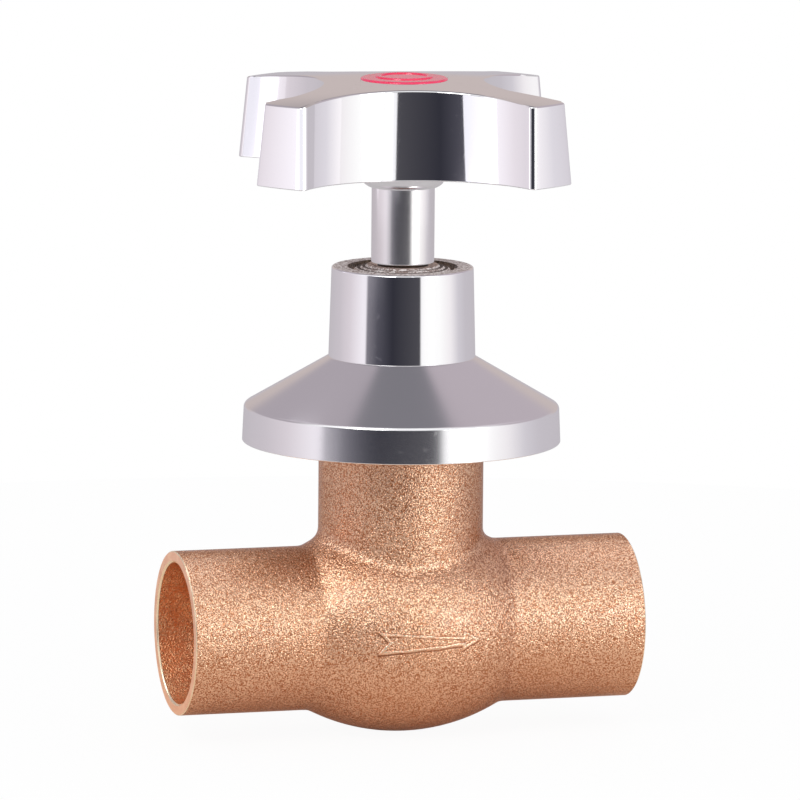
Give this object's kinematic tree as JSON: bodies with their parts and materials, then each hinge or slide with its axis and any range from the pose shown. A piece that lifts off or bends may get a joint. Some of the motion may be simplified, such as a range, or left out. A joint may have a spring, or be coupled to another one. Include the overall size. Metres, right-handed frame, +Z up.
{
  "type": "globe valve",
  "caption": "Concealed globe valve with solder sockets, cast bronze body, rising stem, chromed sleeve and wall flange, and a cross handle that opens and closes the flow.",
  "frame": {"origin": "centre of the inlet socket's mouth", "axes": "+X along the run in the direction of flow, +Z up the stem, and +Y completes a right-handed frame"},
  "size_m": [0.0737, 0.056, 0.1044],
  "materials": {
    "cast_bronze": "sand cast",
    "brass": "machined",
    "chrome": "polished",
    "satin_chrome": "satin",
    "rubber": "moulded",
    "gasket": "fibre",
    "packing": "fluoropolymer",
    "index": "translucent"
  },
  "bodies": {
    "body": {"valve_body": "cast_bronze", "seat_ring": "brass", "bonnet_gasket": "gasket", "bonnet": "brass", "packing_washer": "brass", "packing_rings": "packing", "gland_ring": "brass", "gland_nut": "brass"},
    "disc": {"disc_holder": "brass", "seat_washer": "rubber", "washer_plate": "brass", "washer_screw": "brass"},
    "stem": {"stem": "brass", "stem_tube": "satin_chrome", "handle_hub": "satin_chrome", "handle": "chrome", "screw_washer": "satin_chrome", "handle_screw": "satin_chrome", "index_button": "index"},
    "flange": {"wall_flange": "chrome"},
    "sleeve": {"sleeve": "chrome"}
  },
  "joints": [
    {"name": "disc_lift", "type": "slide", "parent": "body", "child": "disc", "axis": [0, 0, 1], "range_m": [0, 0.006]},
    {"name": "handle_turn", "type": "hinge", "parent": "disc", "child": "stem", "pos_m": [0.03685, 0, 0.08], "axis": [0, 0, 1], "range_deg": [0, 1080]},
    {"name": "flange_slide", "type": "slide", "parent": "body", "child": "flange", "axis": [0, 0, 1], "range_m": [-0.002, 0.00401]},
    {"name": "sleeve_turn", "type": "hinge", "parent": "flange", "child": "sleeve", "pos_m": [0.03685, 0, 0.05], "axis": [0, 0, 1], "range_deg": [-540, 1080]}
  ],
  "couplings": [
    {"joint": "handle_turn", "follows": "disc_lift", "rad_per_m": 3141.6},
    {"joint": "sleeve_turn", "follows": "flange_slide", "rad_per_m": 4699.5}
  ]
}
